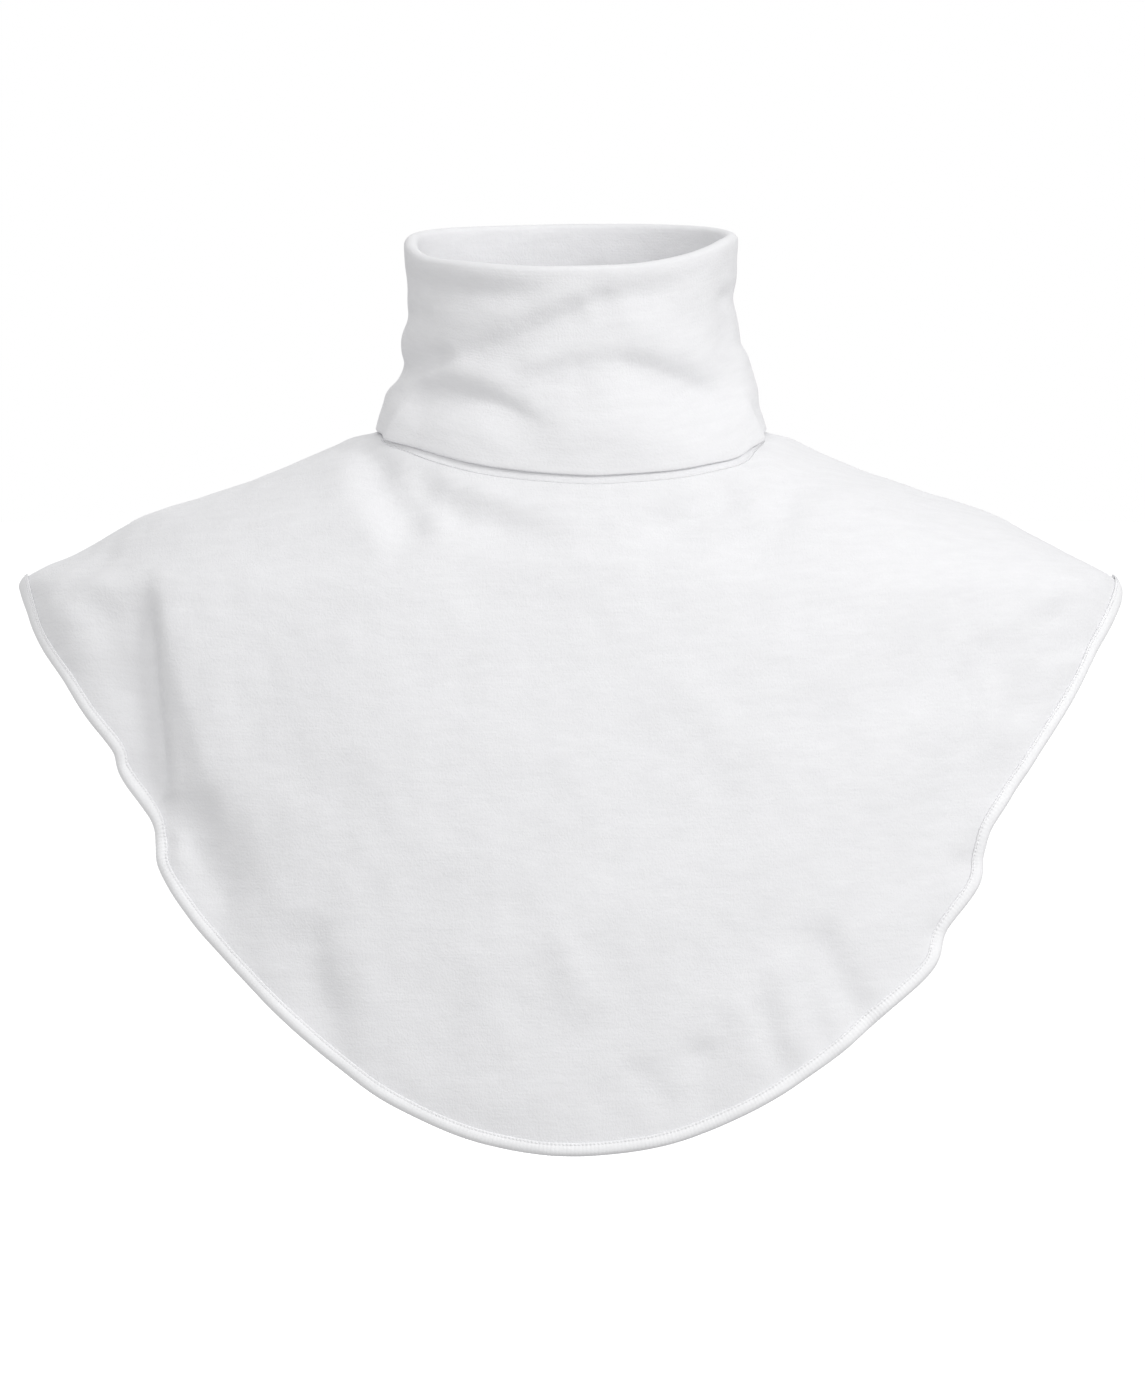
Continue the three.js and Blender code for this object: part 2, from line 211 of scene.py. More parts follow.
# Folds run from a start by way of a bend to an end, each given as across and height.
# left and right are how wide a fold is on either hand of its run. A hollow has a negative rise.
FOLD = "name start bend end left right rise"
BIB_FOLDS = records(
    FOLD,
    ("armpit", (-168, -48), (-164, -100), (-158, -156), 5, 11, -7.4),
    ("chest edge", (-158, -56), (-146, -104), (-122, -166), 20, 9, 3),
    ("under armpit", (-154, -136), (-143, -158), (-124, -196), 14, 10, -4),
    ("under armpit", (-156, -146), (-153, -157), (-148, -170), 4, 5, 1.2),
    ("arm hollow", (-184, -56), (-181, -82), (-176, -108), 8, 9, -2.4),
    ("arm ridge", (-196, -64), (-194, -78), (-188, -94), 8, 8, 1),
    ("tip wrinkle", (-176, -42), (-190, -54), (-205, -66), 3, 5, -0.9),
    ("hem kink", (-184, -126), (-172, -130), (-160, -134), 7, 7, -1.6),
    ("hem kink", (-170, -152), (-160, -154), (-150, -156), 6, 6, -2),
    ("neck pull", (-80, 1), (-70, -22), (-52, -46), 6, 9, -4),
    ("neck pull", (-92, -6), (-84, -26), (-70, -46), 6, 8, 1.2),
    ("neck pull", (-70, -9), (-58, -25), (-44, -37), 5, 5, 1.3),
    ("neck swag", (-66, -10), (-44, -28), (4, -37), 5.5, 10, -4.4),
    ("neck swag", (-56, -12), (-40, -20), (-20, -25), 4, 4, 1.2),
    ("neck swag", (-44, -42), (-10, -49), (30, -49), 7, 8, 1.1),
    ("neck pull", (68, -14), (52, -28), (16, -36), 9, 6, -4.2),
    ("neck pull", (82, -8), (79, -32), (48, -48), 8, 8, -3.8),
    ("neck pull", (92, -8), (95, -16), (97, -26), 5, 5, -1.2),
    ("neck pull", (72, -16), (62, -31), (40, -38), 5, 4, 1.1),
    ("chest hollow", (160, -48), (143, -80), (116, -120), 8, 14, -2.4),
    ("side hollow", (162, -58), (150, -118), (134, -180), 7, 12, -2.6),
    ("side hollow", (164, -70), (170, -94), (175, -116), 8, 8, -1.7),
    ("side ridge", (171, -62), (165, -102), (154, -138), 9, 9, 1.2),
    ("arm hollow", (188, -62), (193, -76), (197, -90), 8, 8, -1.7),
    ("shoulder strip", (122, -25), (150, -33), (176, -41), 5, 8, -1.3),
    ("tip wrinkle", (192, -50), (201, -54), (210, -60), 3, 3, -0.4),
    ("hem kink", (176, -142), (164, -144), (150, -146), 8, 8, 1.2),
    ("hem kink", (170, -162), (156, -163), (142, -164), 6, 6, -1.4),
    ("hem kink", (160, -188), (146, -190), (132, -192), 6, 6, -1.6),
    ("hem wave", (92, -180), (104, -206), (118, -230), 6, 9, -2.6),
    ("hem wave", (86, -198), (92, -216), (98, -238), 5, 6, -1.4),
    ("hem ridge", (79, -188), (84, -214), (86, -244), 7, 7, 1.7),
    ("hem ridge", (58, -204), (66, -226), (76, -248), 7, 7, 1.3),
    ("hem wave", (71, -208), (76, -226), (83, -248), 4, 5, -1.2),
    ("hem wave", (51, -226), (50, -240), (48, -260), 6, 7, -1.4),
    ("hem wave", (20, -234), (30, -244), (44, -260), 6, 6, -1),
    ("belly line", (-9, -176), (1, -198), (13, -220), 3.5, 8, 0.7),
    ("belly", (-26, -196), (-12, -214), (4, -238), 12, 10, -0.8),
    ("hem wave", (-100, -178), (-97, -204), (-88, -236), 9, 13, -2.6),
    ("hem ridge", (-84, -184), (-82, -208), (-76, -242), 9, 14, 1.3),
    ("belly", (-52, -194), (-48, -222), (-46, -254), 14, 12, -0.9),
    ("chest line", (30, -36), (30, -54), (30, -76), 4, 5, -0.4),
    ("chest crease", (-16, -50), (6, -54), (28, -57), 4, 4, -0.4),
    ("chest", (-92, -62), (-84, -100), (-60, -136), 26, 26, 1.5),
    ("chest", (84, -62), (78, -100), (56, -136), 26, 26, 1.5),
    ("chest", (-34, -84), (0, -96), (34, -84), 26, 26, -1),
)
BIB_BACK_FOLDS = records(
    FOLD,
    ("neck pull", (-72, 2), (-66, -28), (-44, -58), 7, 9, -2.2),
    ("neck pull", (74, 1), (70, -30), (50, -62), 8, 8, -2.4),
    ("neck swag", (-50, -14), (0, -34), (52, -16), 8, 10, -1.8),
    ("blade", (-112, -48), (-104, -92), (-74, -142), 20, 20, 2.6),
    ("blade", (114, -46), (102, -94), (76, -140), 20, 20, 2.6),
    ("spine", (2, -50), (-3, -110), (2, -204), 17, 17, -2.8),
    ("hem wave", (-152, -66), (-140, -110), (-112, -178), 13, 11, -3.2),
    ("hem wave", (150, -68), (142, -112), (116, -176), 12, 13, -3),
    ("hem wave", (-66, -128), (-62, -160), (-52, -204), 9, 10, -2),
    ("hem wave", (60, -132), (58, -164), (50, -204), 10, 9, -2),
    ("arm hollow", (186, -60), (180, -84), (168, -116), 9, 9, -2),
    ("arm hollow", (-184, -60), (-180, -86), (-166, -118), 9, 9, -2),
)

# The neck seam round the neck. It dips in front, and sooner on the right than on the left.
SEAM_HEIGHTS = table(
    "turn height",
    (-180, 4),
    (-135, 2.6),
    (-90, 1.4),
    (-68, -0.5),
    (-51, -4.5),
    (-41, -7),
    (-30, -10.6),
    (-14, -15.6),
    (2.5, -18.3),
    (11, -17.7),
    (21, -16.1),
    (30, -13.7),
    (40, -10.8),
    (51, -6),
    (67, -1),
    (90, 1.4),
    (135, 2.6),
    (180, 4),
)

# The rim's top round the neck. It dips in front, lowest a little left of the middle.
RIM_HEIGHTS = table(
    "turn height",
    (-180, 83.1),
    (-150, 82.2),
    (-120, 80.8),
    (-95, 78),
    (-75, 72.8),
    (-60, 69.6),
    (-40, 67.9),
    (-15, 66.1),
    (10, 66.3),
    (25, 67.3),
    (42, 70.1),
    (58, 73.7),
    (72, 77),
    (95, 79.5),
    (120, 81.7),
    (150, 83),
    (180, 83.1),
)

# The collar's outer face, from the turned-down edge at height 0 to the rim at height 1.
COLLAR_SECTIONS = table(
    "height half_width front back",
    (0, 77.6, 70.5, 64),
    (0.12, 75, 68.5, 62.5),
    (0.25, 71.7, 66, 61),
    (0.4, 68.1, 63, 59.5),
    (0.55, 66.4, 61, 58.5),
    (0.7, 65.4, 59, 58),
    (0.85, 65.6, 58, 57.5),
    (1, 66.5, 57.5, 57.5),
)
COLLAR_FOLDS = records(
    FOLD,
    ("long diagonal", (-66, 22), (-18, 39), (20, 56), 5.5, 11, -3.6),
    ("long diagonal", (4, 51), (24, 58), (52, 62), 6, 9, -2.6),
    ("long ridge", (-40, 46), (-10, 54), (18, 66), 6, 6, 1),
    ("upper left", (-70, 64), (-38, 58), (0, 61), 7, 9, -3.2),
    ("arch rise", (-36, 13), (-10, 23), (20, 29), 5.5, 9, -3.2),
    ("arch fall", (4, 29), (38, 23), (70, 5), 5, 10, -3.8),
    ("arch ridge", (8, 42), (40, 37), (68, 18), 7, 7, 1.3),
    ("lower left hollow", (-72, 11), (-47, 16), (-5, 0), 4.5, 8, -4.8),
    ("lower left ridge", (-64, 22), (-40, 25), (-10, 12), 5, 5, 1.8),
    ("side pit", (-88, 18), (-64, 26), (-46, 35), 4.5, 5, -4.6),
    ("side roll", (-78, 36), (-66, 37), (-54, 44), 5, 5, 0.6),
    ("side roll", (-84, 16), (-68, 19), (-54, 26), 4.5, 4, 1.6),
    ("side notch", (-74, 46), (-64, 46), (-54, 50), 4.5, 4.5, -1.4),
    ("side crease", (59, 62), (61, 45), (58, 30), 4, 4, -1),
    ("side roll", (66, 36), (69, 24), (75, 8), 6, 5, 2),
    ("side notch", (72, 54), (66, 53), (58, 57), 5, 5, -1.4),
    ("front swell", (-16, 0), (14, 2), (44, 0), 9, 9, 1.1),
)
COLLAR_BACK_FOLDS = records(
    FOLD,
    ("slant", (-58, 24), (-16, 40), (30, 56), 6, 8, -2.2),
    ("slant ridge", (-48, 36), (-10, 50), (28, 66), 7, 7, 1.2),
    ("arch", (-34, 34), (8, 20), (60, 26), 6, 5, -2),
    ("lower", (-60, 18), (-30, 12), (4, 20), 6, 5, -1.6),
    ("lower ridge", (-20, 8), (20, 12), (58, 12), 7, 7, 1.2),
)


def smooth_column(rows, key, column, at):
    """A column's value between the rows of a table, on a smooth curve through them."""
    x, y = rows[key], rows[column]
    rise = np.append(y[1:], y[-1]) - np.insert(y[:-1], 0, y[0])
    slope = rise / (np.append(x[1:], x[-1]) - np.insert(x[:-1], 0, x[0]))
    i = np.clip(np.searchsorted(x, at) - 1, 0, len(x) - 2)
    span = x[i + 1] - x[i]
    t = np.clip((at - x[i]) / span, 0, 1)
    share = 3 * t**2 - 2 * t**3
    leave = t * (1 - t) ** 2 * span
    arrive = -(t**2) * (1 - t) * span
    return y[i] + (y[i + 1] - y[i]) * share + slope[i] * leave + slope[i + 1] * arrive


def smoothstep(value, low, high):
    t = np.clip((value - low) / (high - low), 0, 1)
    return t * t * (3 - 2 * t)


def section_point(rows, key, at, angle, z, grow=0.0):
    """Places at angles round level sections, made larger all round by grow."""
    across = smooth_column(rows, key, "half_width", at) + grow
    front = smooth_column(rows, key, "front", at)
    back = smooth_column(rows, key, "back", at)
    depth = np.where(np.cos(angle) > 0, front, back) + grow
    return np.stack([across * np.sin(angle), -depth * np.cos(angle), z], -1)


def body_point(angle, z):
    return section_point(BODY_SECTIONS, "z", z, angle, z)


def seam_height(angle):
    """The height of the neck seam at an angle."""
    turn = (np.degrees(angle) + 180) % 360 - 180
    return smooth_column(SEAM_HEIGHTS, "turn", "height", turn)


def route_distance(route, x, z):
    """How far places are from a route, on which hand of it, and what share along it."""
    best = np.full(x.shape, np.inf)
    hand = np.zeros(x.shape)
    along = np.zeros(x.shape)
    for i, (a, b) in enumerate(zip(route[:-1], route[1:])):
        step = b - a
        from_x, from_z = x - a[0], z - a[1]
        t = np.clip((from_x * step[0] + from_z * step[1]) / (step @ step), 0, 1)
        far = np.hypot(from_x - t * step[0], from_z - t * step[1])
        nearer = far < best
        best = np.where(nearer, far, best)
        hand = np.where(nearer, step[0] * from_z - step[1] * from_x, hand)
        along = np.where(nearer, (i + t) / (len(route) - 1), along)
    return best, hand, along


def fold_rise(folds, x, z):
    """How far places, given as across and height, are raised by the folds."""
    total = np.zeros(x.shape)
    t = np.linspace(0, 1, ROUTE_STEPS + 1)[:, None]
    for fold in folds:
        start, bend, end = (np.array(fold[name], float) for name in ("start", "bend", "end"))
        # The route passes through the bend at its middle.
        pull = 2 * bend - (start + end) / 2
        route = (1 - t) ** 2 * start + 2 * t * (1 - t) * pull + t**2 * end
        reach = FOLD_REACH * max(fold["left"], fold["right"])
        low, high = route.min(0) - reach, route.max(0) + reach
        near = (x > low[0]) & (x < high[0]) & (z > low[1]) & (z < high[1])
        far, hand, along = route_distance(route, x[near], z[near])
        width = np.where(hand > 0, fold["left"], fold["right"])
        fade = smoothstep(along, 0, FOLD_FADE) * smoothstep(1 - along, 0, FOLD_FADE)
        total[near] += fold["rise"] * fade * np.exp(-((far / width) ** 2))
    return total


def wavering(places, pitch, seed, waves=40):
    """A smooth random height from -1 to 1 or so at each place, its hills about pitch apart."""
    draw = np.random.default_rng(seed)
    total = np.zeros(places.shape[:-1])
    for _ in range(waves):
        way = draw.normal(size=3)
        way *= math.tau / (pitch * draw.uniform(0.7, 1.6) * np.linalg.norm(way))
        total += np.sin(places @ way + draw.uniform(0, math.tau))
    return total / math.sqrt(waves)


def unevenness(rows, places):
    return sum(row["rise"] * wavering(places, row["pitch"], row["seed"]) for row in rows)


def front_and_back(facing):
    """The shares of the front's folds and of the back's, from how far the cloth faces forwards."""
    return smoothstep(facing, -SIDE_REACH, 0.1), smoothstep(-facing, 0, 0.4)


def normals_of(surface, angle, z):
    """Outward normals of a surface given as a function of angle and height."""
    turn, rise = 0.004, 0.4
    across = surface(angle + turn, z) - surface(angle - turn, z)
    upwards = surface(angle, z + rise) - surface(angle, z - rise)
    normal = np.cross(across, upwards)
    return normal / np.linalg.norm(normal, axis=-1, keepdims=True)


def ring_mesh(name, sections, cloth):
    """A closed skin over sections that run round a ring, each a closed loop of places.

    cloth gives each place's own coordinates on the knit, with one more column and one more row,
    so that the pattern closes without a jump."""
    round_count, loop_count = sections.shape[:2]
    i, k = np.meshgrid(np.arange(round_count), np.arange(loop_count), indexing="ij")
    corners = [(i, k), (i, k + 1), (i + 1, k + 1), (i + 1, k)]
    faces = np.stack([(a % round_count) * loop_count + b % loop_count for a, b in corners], -1)
    mesh = bpy.data.meshes.new(name)
    mesh.from_pydata(sections.reshape(-1, 3) * MM, [], faces.reshape(-1, 4))
    layer = mesh.uv_layers.new(name="cloth")
    places = np.stack([cloth[a, b] for a, b in corners], 2)
    layer.uv.foreach_set("vector", places.astype(np.float32).ravel())
    mesh.polygons.foreach_set("use_smooth", np.ones(len(mesh.polygons), bool))
    mesh.validate()
    piece = bpy.data.objects.new(name, mesh)
    bpy.context.scene.collection.objects.link(piece)
    return piece


def cloth_round(sections, u):
    """Coordinates on the knit for a ring of sections: u round the ring, and the way round the
    first section."""
    steps = np.linalg.norm(np.diff(sections[0], axis=0, append=sections[0][:1]), axis=1)
    v = np.insert(np.cumsum(steps), 0, 0)
    return np.stack(np.broadcast_arrays(u[:, None], v[None, :]), -1)


def closed_curve(points, steps):
    """Places along a smooth closed curve through the points, steps of them after each point."""
    before, after, beyond = (np.roll(points, shift, 0) for shift in (1, -1, -2))

    def gap(a, b):
        return np.sqrt(np.linalg.norm(b - a, axis=1))[:, None]

    d0, d1, d2 = gap(before, points), gap(points, after), gap(after, beyond)
    step = after - points
    leave = d1 * ((points - before) / d0 - (after - before) / (d0 + d1)) + step
    arrive = d1 * ((beyond - after) / d2 - (beyond - points) / (d1 + d2)) + step
    t = (np.arange(steps) / steps)[None, :, None]
    p0, p1, m0, m1 = (value[:, None, :] for value in (points, after, leave, arrive))
    curve = (2 * t**3 - 3 * t**2 + 1) * p0 + (t**3 - 2 * t**2 + t) * m0
    curve = curve + (3 * t**2 - 2 * t**3) * p1 + (t**3 - t**2) * m1
    return curve.reshape(-1, 3)


def hem_ring():
    """Angles and heights of the bib's cut edge, from the left shoulder tip on past the front."""

    def turn_of(x, z):
        return np.arcsin(x / smooth_column(BODY_SECTIONS, "z", "half_width", z))

    quarter = math.pi / 2
    front = turn_of(FRONT_HEM["x"], FRONT_HEM["z"])
    x = np.arange(BACK_HEM_STEPS, -BACK_HEM_STEPS - 1, -1) * BACK_HEM_STEP
    share = 1 - (x / SHOULDER_TIP_X) ** 2
    back_z = SHOULDER_TIP_Z - BACK_HEM_DROP * share**BACK_HEM_POWER
    angle = np.concatenate([[-quarter], front, [quarter], math.pi - turn_of(x, back_z)])
    z = np.concatenate([[SHOULDER_TIP_Z], FRONT_HEM["z"], [SHOULDER_TIP_Z], back_z])
    return angle, z


def hem_columns(count):
    """For columns evenly spaced along the hem: their angles on the neck seam, their angles and
    heights on the hem, and the hem's length."""
    angle, z = hem_ring()
    cylinder = np.stack([HEM_CYLINDER * np.cos(angle), HEM_CYLINDER * np.sin(angle), z], -1)
    curve = closed_curve(cylinder, HEM_STEPS)
    curve = np.vstack([curve, curve[:1]])
    turn = np.unwrap(np.arctan2(curve[:, 1], curve[:, 0]))
    turn += -math.pi / 2 - turn[0]
    place = body_point(turn, curve[:, 2])
    length = np.concatenate([[0], np.cumsum(np.linalg.norm(np.diff(place, axis=0), axis=1))])
    at = np.arange(count) / count * length[-1]
    quarters = np.radians([-90, 0, 90, 180, 270])
    bounds = np.interp(quarters, turn, length)
    bounds[-1] = length[-1]
    hem_angle = np.interp(at, length, turn)
    neck_angle = np.interp(at, bounds, quarters)
    neck_angle += (hem_angle - neck_angle) * COLUMN_UPRIGHT
    return neck_angle, hem_angle, np.interp(at, length, curve[:, 2]), length[-1]


def bib_surface(angle, z):
    """The bib's outer face with its folds, at angles round the neck and heights."""
    smooth = body_point(angle, z)
    x, y = smooth[..., 0], smooth[..., 1]
    front, back = front_and_back(np.cos(np.arctan2(x, -y)))
    rise = front * fold_rise(BIB_FOLDS, x, z) + back * fold_rise(BIB_BACK_FOLDS, x, z)
    rise += unevenness(BIB_UNEVENNESS, smooth)
    rise *= smoothstep(seam_height(angle) - z, 0, SEAM_FADE)
    return smooth + normals_of(body_point, angle, z) * rise[..., None]


def bib_cloth(smooth):
    """Coordinates on the knit: across it, and along the wales from the front over the shoulder."""
    x, y, z = (smooth[..., n] for n in range(3))
    order = np.argsort(BODY_SECTIONS["half_width"])
    widths, heights = BODY_SECTIONS["half_width"][order], BODY_SECTIONS["z"][order]
    ridge = np.interp(np.abs(x), widths, heights)
    across = smooth_column(BODY_SECTIONS, "z", "half_width", KNIT_START)
    front = smooth_column(BODY_SECTIONS, "z", "front", KNIT_START)
    at_start = np.hypot(ridge - KNIT_START, front * np.sqrt(1 - (x / across) ** 2))
    down = np.hypot(ridge - z, y)
    along = np.where(y < 0, down, -down) - at_start
    return np.stack([x * KNIT_WIDENING, along], -1)


def make_bib():
    *columns, _ = hem_columns(BIB_COLUMNS)
    neck_angle, hem_angle, hem_z = (column[:, None] for column in columns)
    t = np.insert(np.linspace(0, 1, BIB_ROWS + 1), 1, CUT_EDGE_ROW)[None, :]
    angle = neck_angle * (1 - t) + hem_angle * t
    z = seam_height(neck_angle) * (1 - t) + hem_z * t
    outer = bib_surface(angle, z)
    inner = outer - normals_of(bib_surface, angle, z) * BIB_WALL
    sections = np.concatenate([outer, inner[:, ::-1]], 1)
    cloth = bib_cloth(body_point(angle, z))
    cloth = np.concatenate([cloth, cloth[:, ::-1], cloth[:, :1]], 1)
    cloth = np.concatenate([cloth, cloth[:1]], 0)
    return ring_mesh("bib_cloth", sections, cloth)


def hem_frame(count):
    """For places along the hem: the bib's edge on its outer face, the ways out, up and along,
    and the hem's length."""
    _, angle, z, length = hem_columns(count)
    edge = bib_surface(angle, z)
    up = normals_of(bib_surface, angle, z)
    along = np.roll(edge, -1, 0) - np.roll(edge, 1, 0)
    along /= np.linalg.norm(along, axis=-1, keepdims=True)
    out = np.cross(along, up)
    out /= np.linalg.norm(out, axis=-1, keepdims=True)
    return edge, out, up, along, length


def make_binding():
    """The strip folded over the cut edge, drawn into puckers by its stitches."""
    edge, out, up, _, length = hem_frame(BINDING_COLUMNS)
    middle = edge - up * (BIB_WALL / 2)
    stitches = round(length / STITCH_PITCH)
    beat = np.arange(BINDING_COLUMNS) / BINDING_COLUMNS * stitches
    draw = np.random.default_rng(11)
    runs = stitches // PUCKER_RUN + 3
    strength = np.interp(beat, np.arange(runs) * PUCKER_RUN, draw.uniform(0.35, 1, runs))
    strength *= np.interp(beat, np.arange(stitches + 2), draw.uniform(0.6, 1.25, stitches + 2))
    pucker = (np.cos(math.tau * beat) * strength)[:, None]
    slot = BIB_WALL / 2 + BINDING_SLACK
    half = table(
        "out up",
        (PIECE_GAP, slot),
        (-1, slot),
        (-BINDING_LAP, slot),
        (-BINDING_LAP - 0.1, slot + 0.3),
        (-BINDING_LAP + 0.15, slot + 0.62),
        (-STITCH_LINE, slot + 0.62),
        (-2.1, slot + 0.86),
        (-1.4, slot + 1.12),
        (-0.5, slot + 1.26),
        (0.4, slot + 1.16),
        (1.2, slot + 0.72),
        (1.75, slot * 0.95),
        (2.02, slot * 0.5),
    )
    outs = np.concatenate([half["out"], [BINDING_NOSE], half["out"][::-1]])
    ups = np.concatenate([half["up"], [0], -half["up"][::-1]])
    skin = smoothstep(np.abs(ups), slot + 0.2, slot + 0.7)
    near_stitch = np.exp(-(((outs + STITCH_LINE) / STITCH_DIP_WIDTH) ** 2))
    swell = 1 - 0.3 * smoothstep(outs, -1.5, 2)
    lift = (PUCKER_RISE * swell * skin)[None, :] * pucker
    lift = lift - (STITCH_DIP * near_stitch * skin)[None, :] * (1 - pucker)
    ups = ups[None, :] + np.sign(ups)[None, :] * lift
    tip = np.exp(-(((SHOULDER_TIP_Z - edge[:, 2]) / TIP_REACH) ** 2))[:, None]
    thinning = np.clip(np.abs(ups) - slot, 0, None) * TIP_THINNING * tip
    ups = ups - np.sign(ups) * thinning
    widening = np.where(outs > 0, TIP_NOSE, TIP_LAP)[None, :] * tip
    outs = outs[None, :] * (1 + widening) + PUCKER_SPREAD * pucker * np.sign(outs)[None, :]
    sections = middle[:, None] + out[:, None] * outs[..., None] + up[:, None] * ups[..., None]
    u = np.arange(BINDING_COLUMNS + 1) * length / BINDING_COLUMNS
    return ring_mesh("binding_strip", sections, cloth_round(sections, u))


def make_collar():
    """The doubled band: up the stand's inner face, over the rim, down the turned layer and back."""
    layer = COLLAR_WALL + COLLAR_LAYER_GAP
    radius = (2 * COLLAR_WALL + COLLAR_LAYER_GAP) / 2
    turn = np.arange(COLLAR_COLUMNS) / COLLAR_COLUMNS * 360 - 180
    angle = np.radians(turn)
    facing = np.cos(angle)
    # The corners of the neck opening lie nearer the front than those of the round band above.
    low_angle = angle - CORNER_TWIST * np.sin(2 * angle) * (facing > 0)
    seam = seam_height(low_angle)
    front_share = np.cos(low_angle) ** 2
    edge = seam + EDGE_LIFT_SIDE + (EDGE_LIFT_FRONT - EDGE_LIFT_SIDE) * front_share
    edge -= EDGE_SETTLE * np.sin(low_angle) ** 8
    stand_off = EDGE_STAND_OFF_SIDE + (EDGE_STAND_OFF_FRONT - EDGE_STAND_OFF_SIDE) * front_share
    from_corner = (np.abs(low_angle) - EDGE_CORNER) / EDGE_CORNER_SPREAD
    stand_off = stand_off + EDGE_CORNER_BOW * np.exp(-(from_corner**2))
    rim = smooth_column(RIM_HEIGHTS, "turn", "height", turn) - radius
    front, back = front_and_back(facing)
    bottom = np.zeros(angle.shape)
    resting = section_point(BODY_SECTIONS, "z", edge, low_angle, edge, stand_off)
    flare = resting - section_point(COLLAR_SECTIONS, "height", bottom, angle, edge)

    def place(height, inset, lift=0.0):
        """A row round the collar, inset from its outer face."""
        level = np.full(angle.shape, float(height))
        z = edge + (rim - edge) * height + lift
        point = section_point(COLLAR_SECTIONS, "height", level, angle, z, -inset)
        point += flare * (1 - smoothstep(height, 0, EDGE_FLARE))
        fade = smoothstep(1 - height, 0, RIM_FADE)
        fade = min(fade, smoothstep(height, EDGE_FADE_LOW, EDGE_FADE_HIGH))
        rise = front * fold_rise(COLLAR_FOLDS, point[:, 0], z)
        rise += back * fold_rise(COLLAR_BACK_FOLDS, point[:, 0], z)
        spot = section_point(COLLAR_SECTIONS, "height", level, angle, z)
        ripple = unevenness(COLLAR_UNEVENNESS, spot)
        rise = fade * rise + (LEAST_RIPPLE + (1 - LEAST_RIPPLE) * fade) * ripple
        point[:, 0] += rise * np.sin(angle)
        point[:, 1] -= rise * np.cos(angle)
        return point

    def foot(inset, lift=0.0):
        """A row along the neck seam, inset from the bib's outer face."""
        return section_point(BODY_SECTIONS, "z", seam, low_angle, seam + lift, -inset)

    def strip(inset, share):
        """From the foot to the stand, on a curve that follows the bib's slope first."""
        low, high = foot(inset - layer), place(STAND_START, inset)
        knee = place(0, inset - KNEE_OUT, -KNEE_DROP)
        return (1 - share) ** 2 * low + 2 * share * (1 - share) * knee + share**2 * high

    def over_rim(bend, degrees):
        bow = math.radians(degrees)
        return place(1, radius - bend * math.cos(bow), bend * math.sin(bow))

    def under_edge(degrees):
        bow = math.radians(degrees)
        half = EDGE_WALL / 2
        return place(0, half - half * math.cos(bow), half * (1 - math.sin(bow)))

    def turned_wall(height):
        return EDGE_WALL + (COLLAR_WALL - EDGE_WALL) * float(smoothstep(height, 0, EDGE_TAPER))

    outer_heights = np.linspace(0.985, 0.0, 68)
    stand_heights = np.linspace(STAND_START, 0.98, 26)
    hidden_heights = np.linspace(0.0, 0.96, 14)
    strip_shares = np.array([0.1, 0.2, 0.3, 0.42, 0.55, 0.7, 0.85])
    rows = [foot(COLLAR_WALL * 0.9, 0.1)]
    rows += [strip(layer + COLLAR_WALL, share) for share in strip_shares]
    rows += [place(h, layer + COLLAR_WALL) for h in stand_heights]
    rows += [over_rim(radius, degrees) for degrees in range(165, 0, -15)]
    rows += [place(h, 0, EDGE_WALL / 2 * (1 - h)) for h in outer_heights]
    rows += [under_edge(degrees) for degrees in range(20, 180, 20)]
    rows += [place(h, turned_wall(h), EDGE_WALL / 2 * (1 - h)) for h in hidden_heights]
    rows += [over_rim(COLLAR_LAYER_GAP / 2, degrees) for degrees in (30, 90, 150)]
    rows += [place(h, layer) for h in hidden_heights[:1:-1]]
    rows += [strip(layer, share) for share in strip_shares[::-1]]
    # The foot is sunk a little way into the bib's cut edge, which closes the seam.
    rows += [foot(0.0, 0.5), foot(0.0, 0.25), foot(0.12, 0.0), foot(0.4, -0.5)]
    rows += [foot(COLLAR_WALL * 0.45, -0.6)]
    sections = np.stack(rows, 1)
    u = np.arange(COLLAR_COLUMNS + 1) / COLLAR_COLUMNS * math.tau * COLLAR_RADIUS
    return ring_mesh("collar_band", sections, cloth_round(sections, u))


def capsules(name, centres, ways, ups, length, width, height):
    """Many small rounded stitches as one mesh, each lying along its way."""
    shares = np.array([-1, -0.75, 0, 0.75, 1])
    girths = np.array([0.12, 0.75, 1, 0.75, 0.12])
    turns = np.arange(THREAD_SIDES) / THREAD_SIDES * math.tau
    sides = np.cross(ways, ups)
    ring = np.cos(turns)[None, :, None] * sides[:, None] * width / 2
    ring = ring + np.sin(turns)[None, :, None] * ups[:, None] * height / 2
    offsets = shares[None, :, None] * ways[:, None] * length / 2
    arch = (1 - shares**2)[None, :, None] * ups[:, None] * height * THREAD_ARCH
    spots = (centres[:, None] + offsets + arch)[:, :, None]
    spots = spots + ring[:, None] * girths[None, :, None, None]
    count, rings, around = spots.shape[:3]
    base = np.arange(count)[:, None, None] * rings * around
    k, j = np.meshgrid(np.arange(rings - 1), np.arange(around), indexing="ij")
    a, b = k * around + j, k * around + (j + 1) % around
    quads = np.stack([a, b, b + around, a + around], -1)[None] + base[..., None]
    faces = [tuple(f) for f in quads.reshape(-1, 4)]
    caps = np.arange(around)
    for start in base.ravel():
        faces.append(tuple(start + caps[::-1]))
        faces.append(tuple(start + (rings - 1) * around + caps))
    mesh = bpy.data.meshes.new(name)
    mesh.from_pydata(spots.reshape(-1, 3) * MM, [], faces)
    mesh.polygons.foreach_set("use_smooth", np.ones(len(mesh.polygons), bool))
    piece = bpy.data.objects.new(name, mesh)
    bpy.context.scene.collection.objects.link(piece)
    return piece


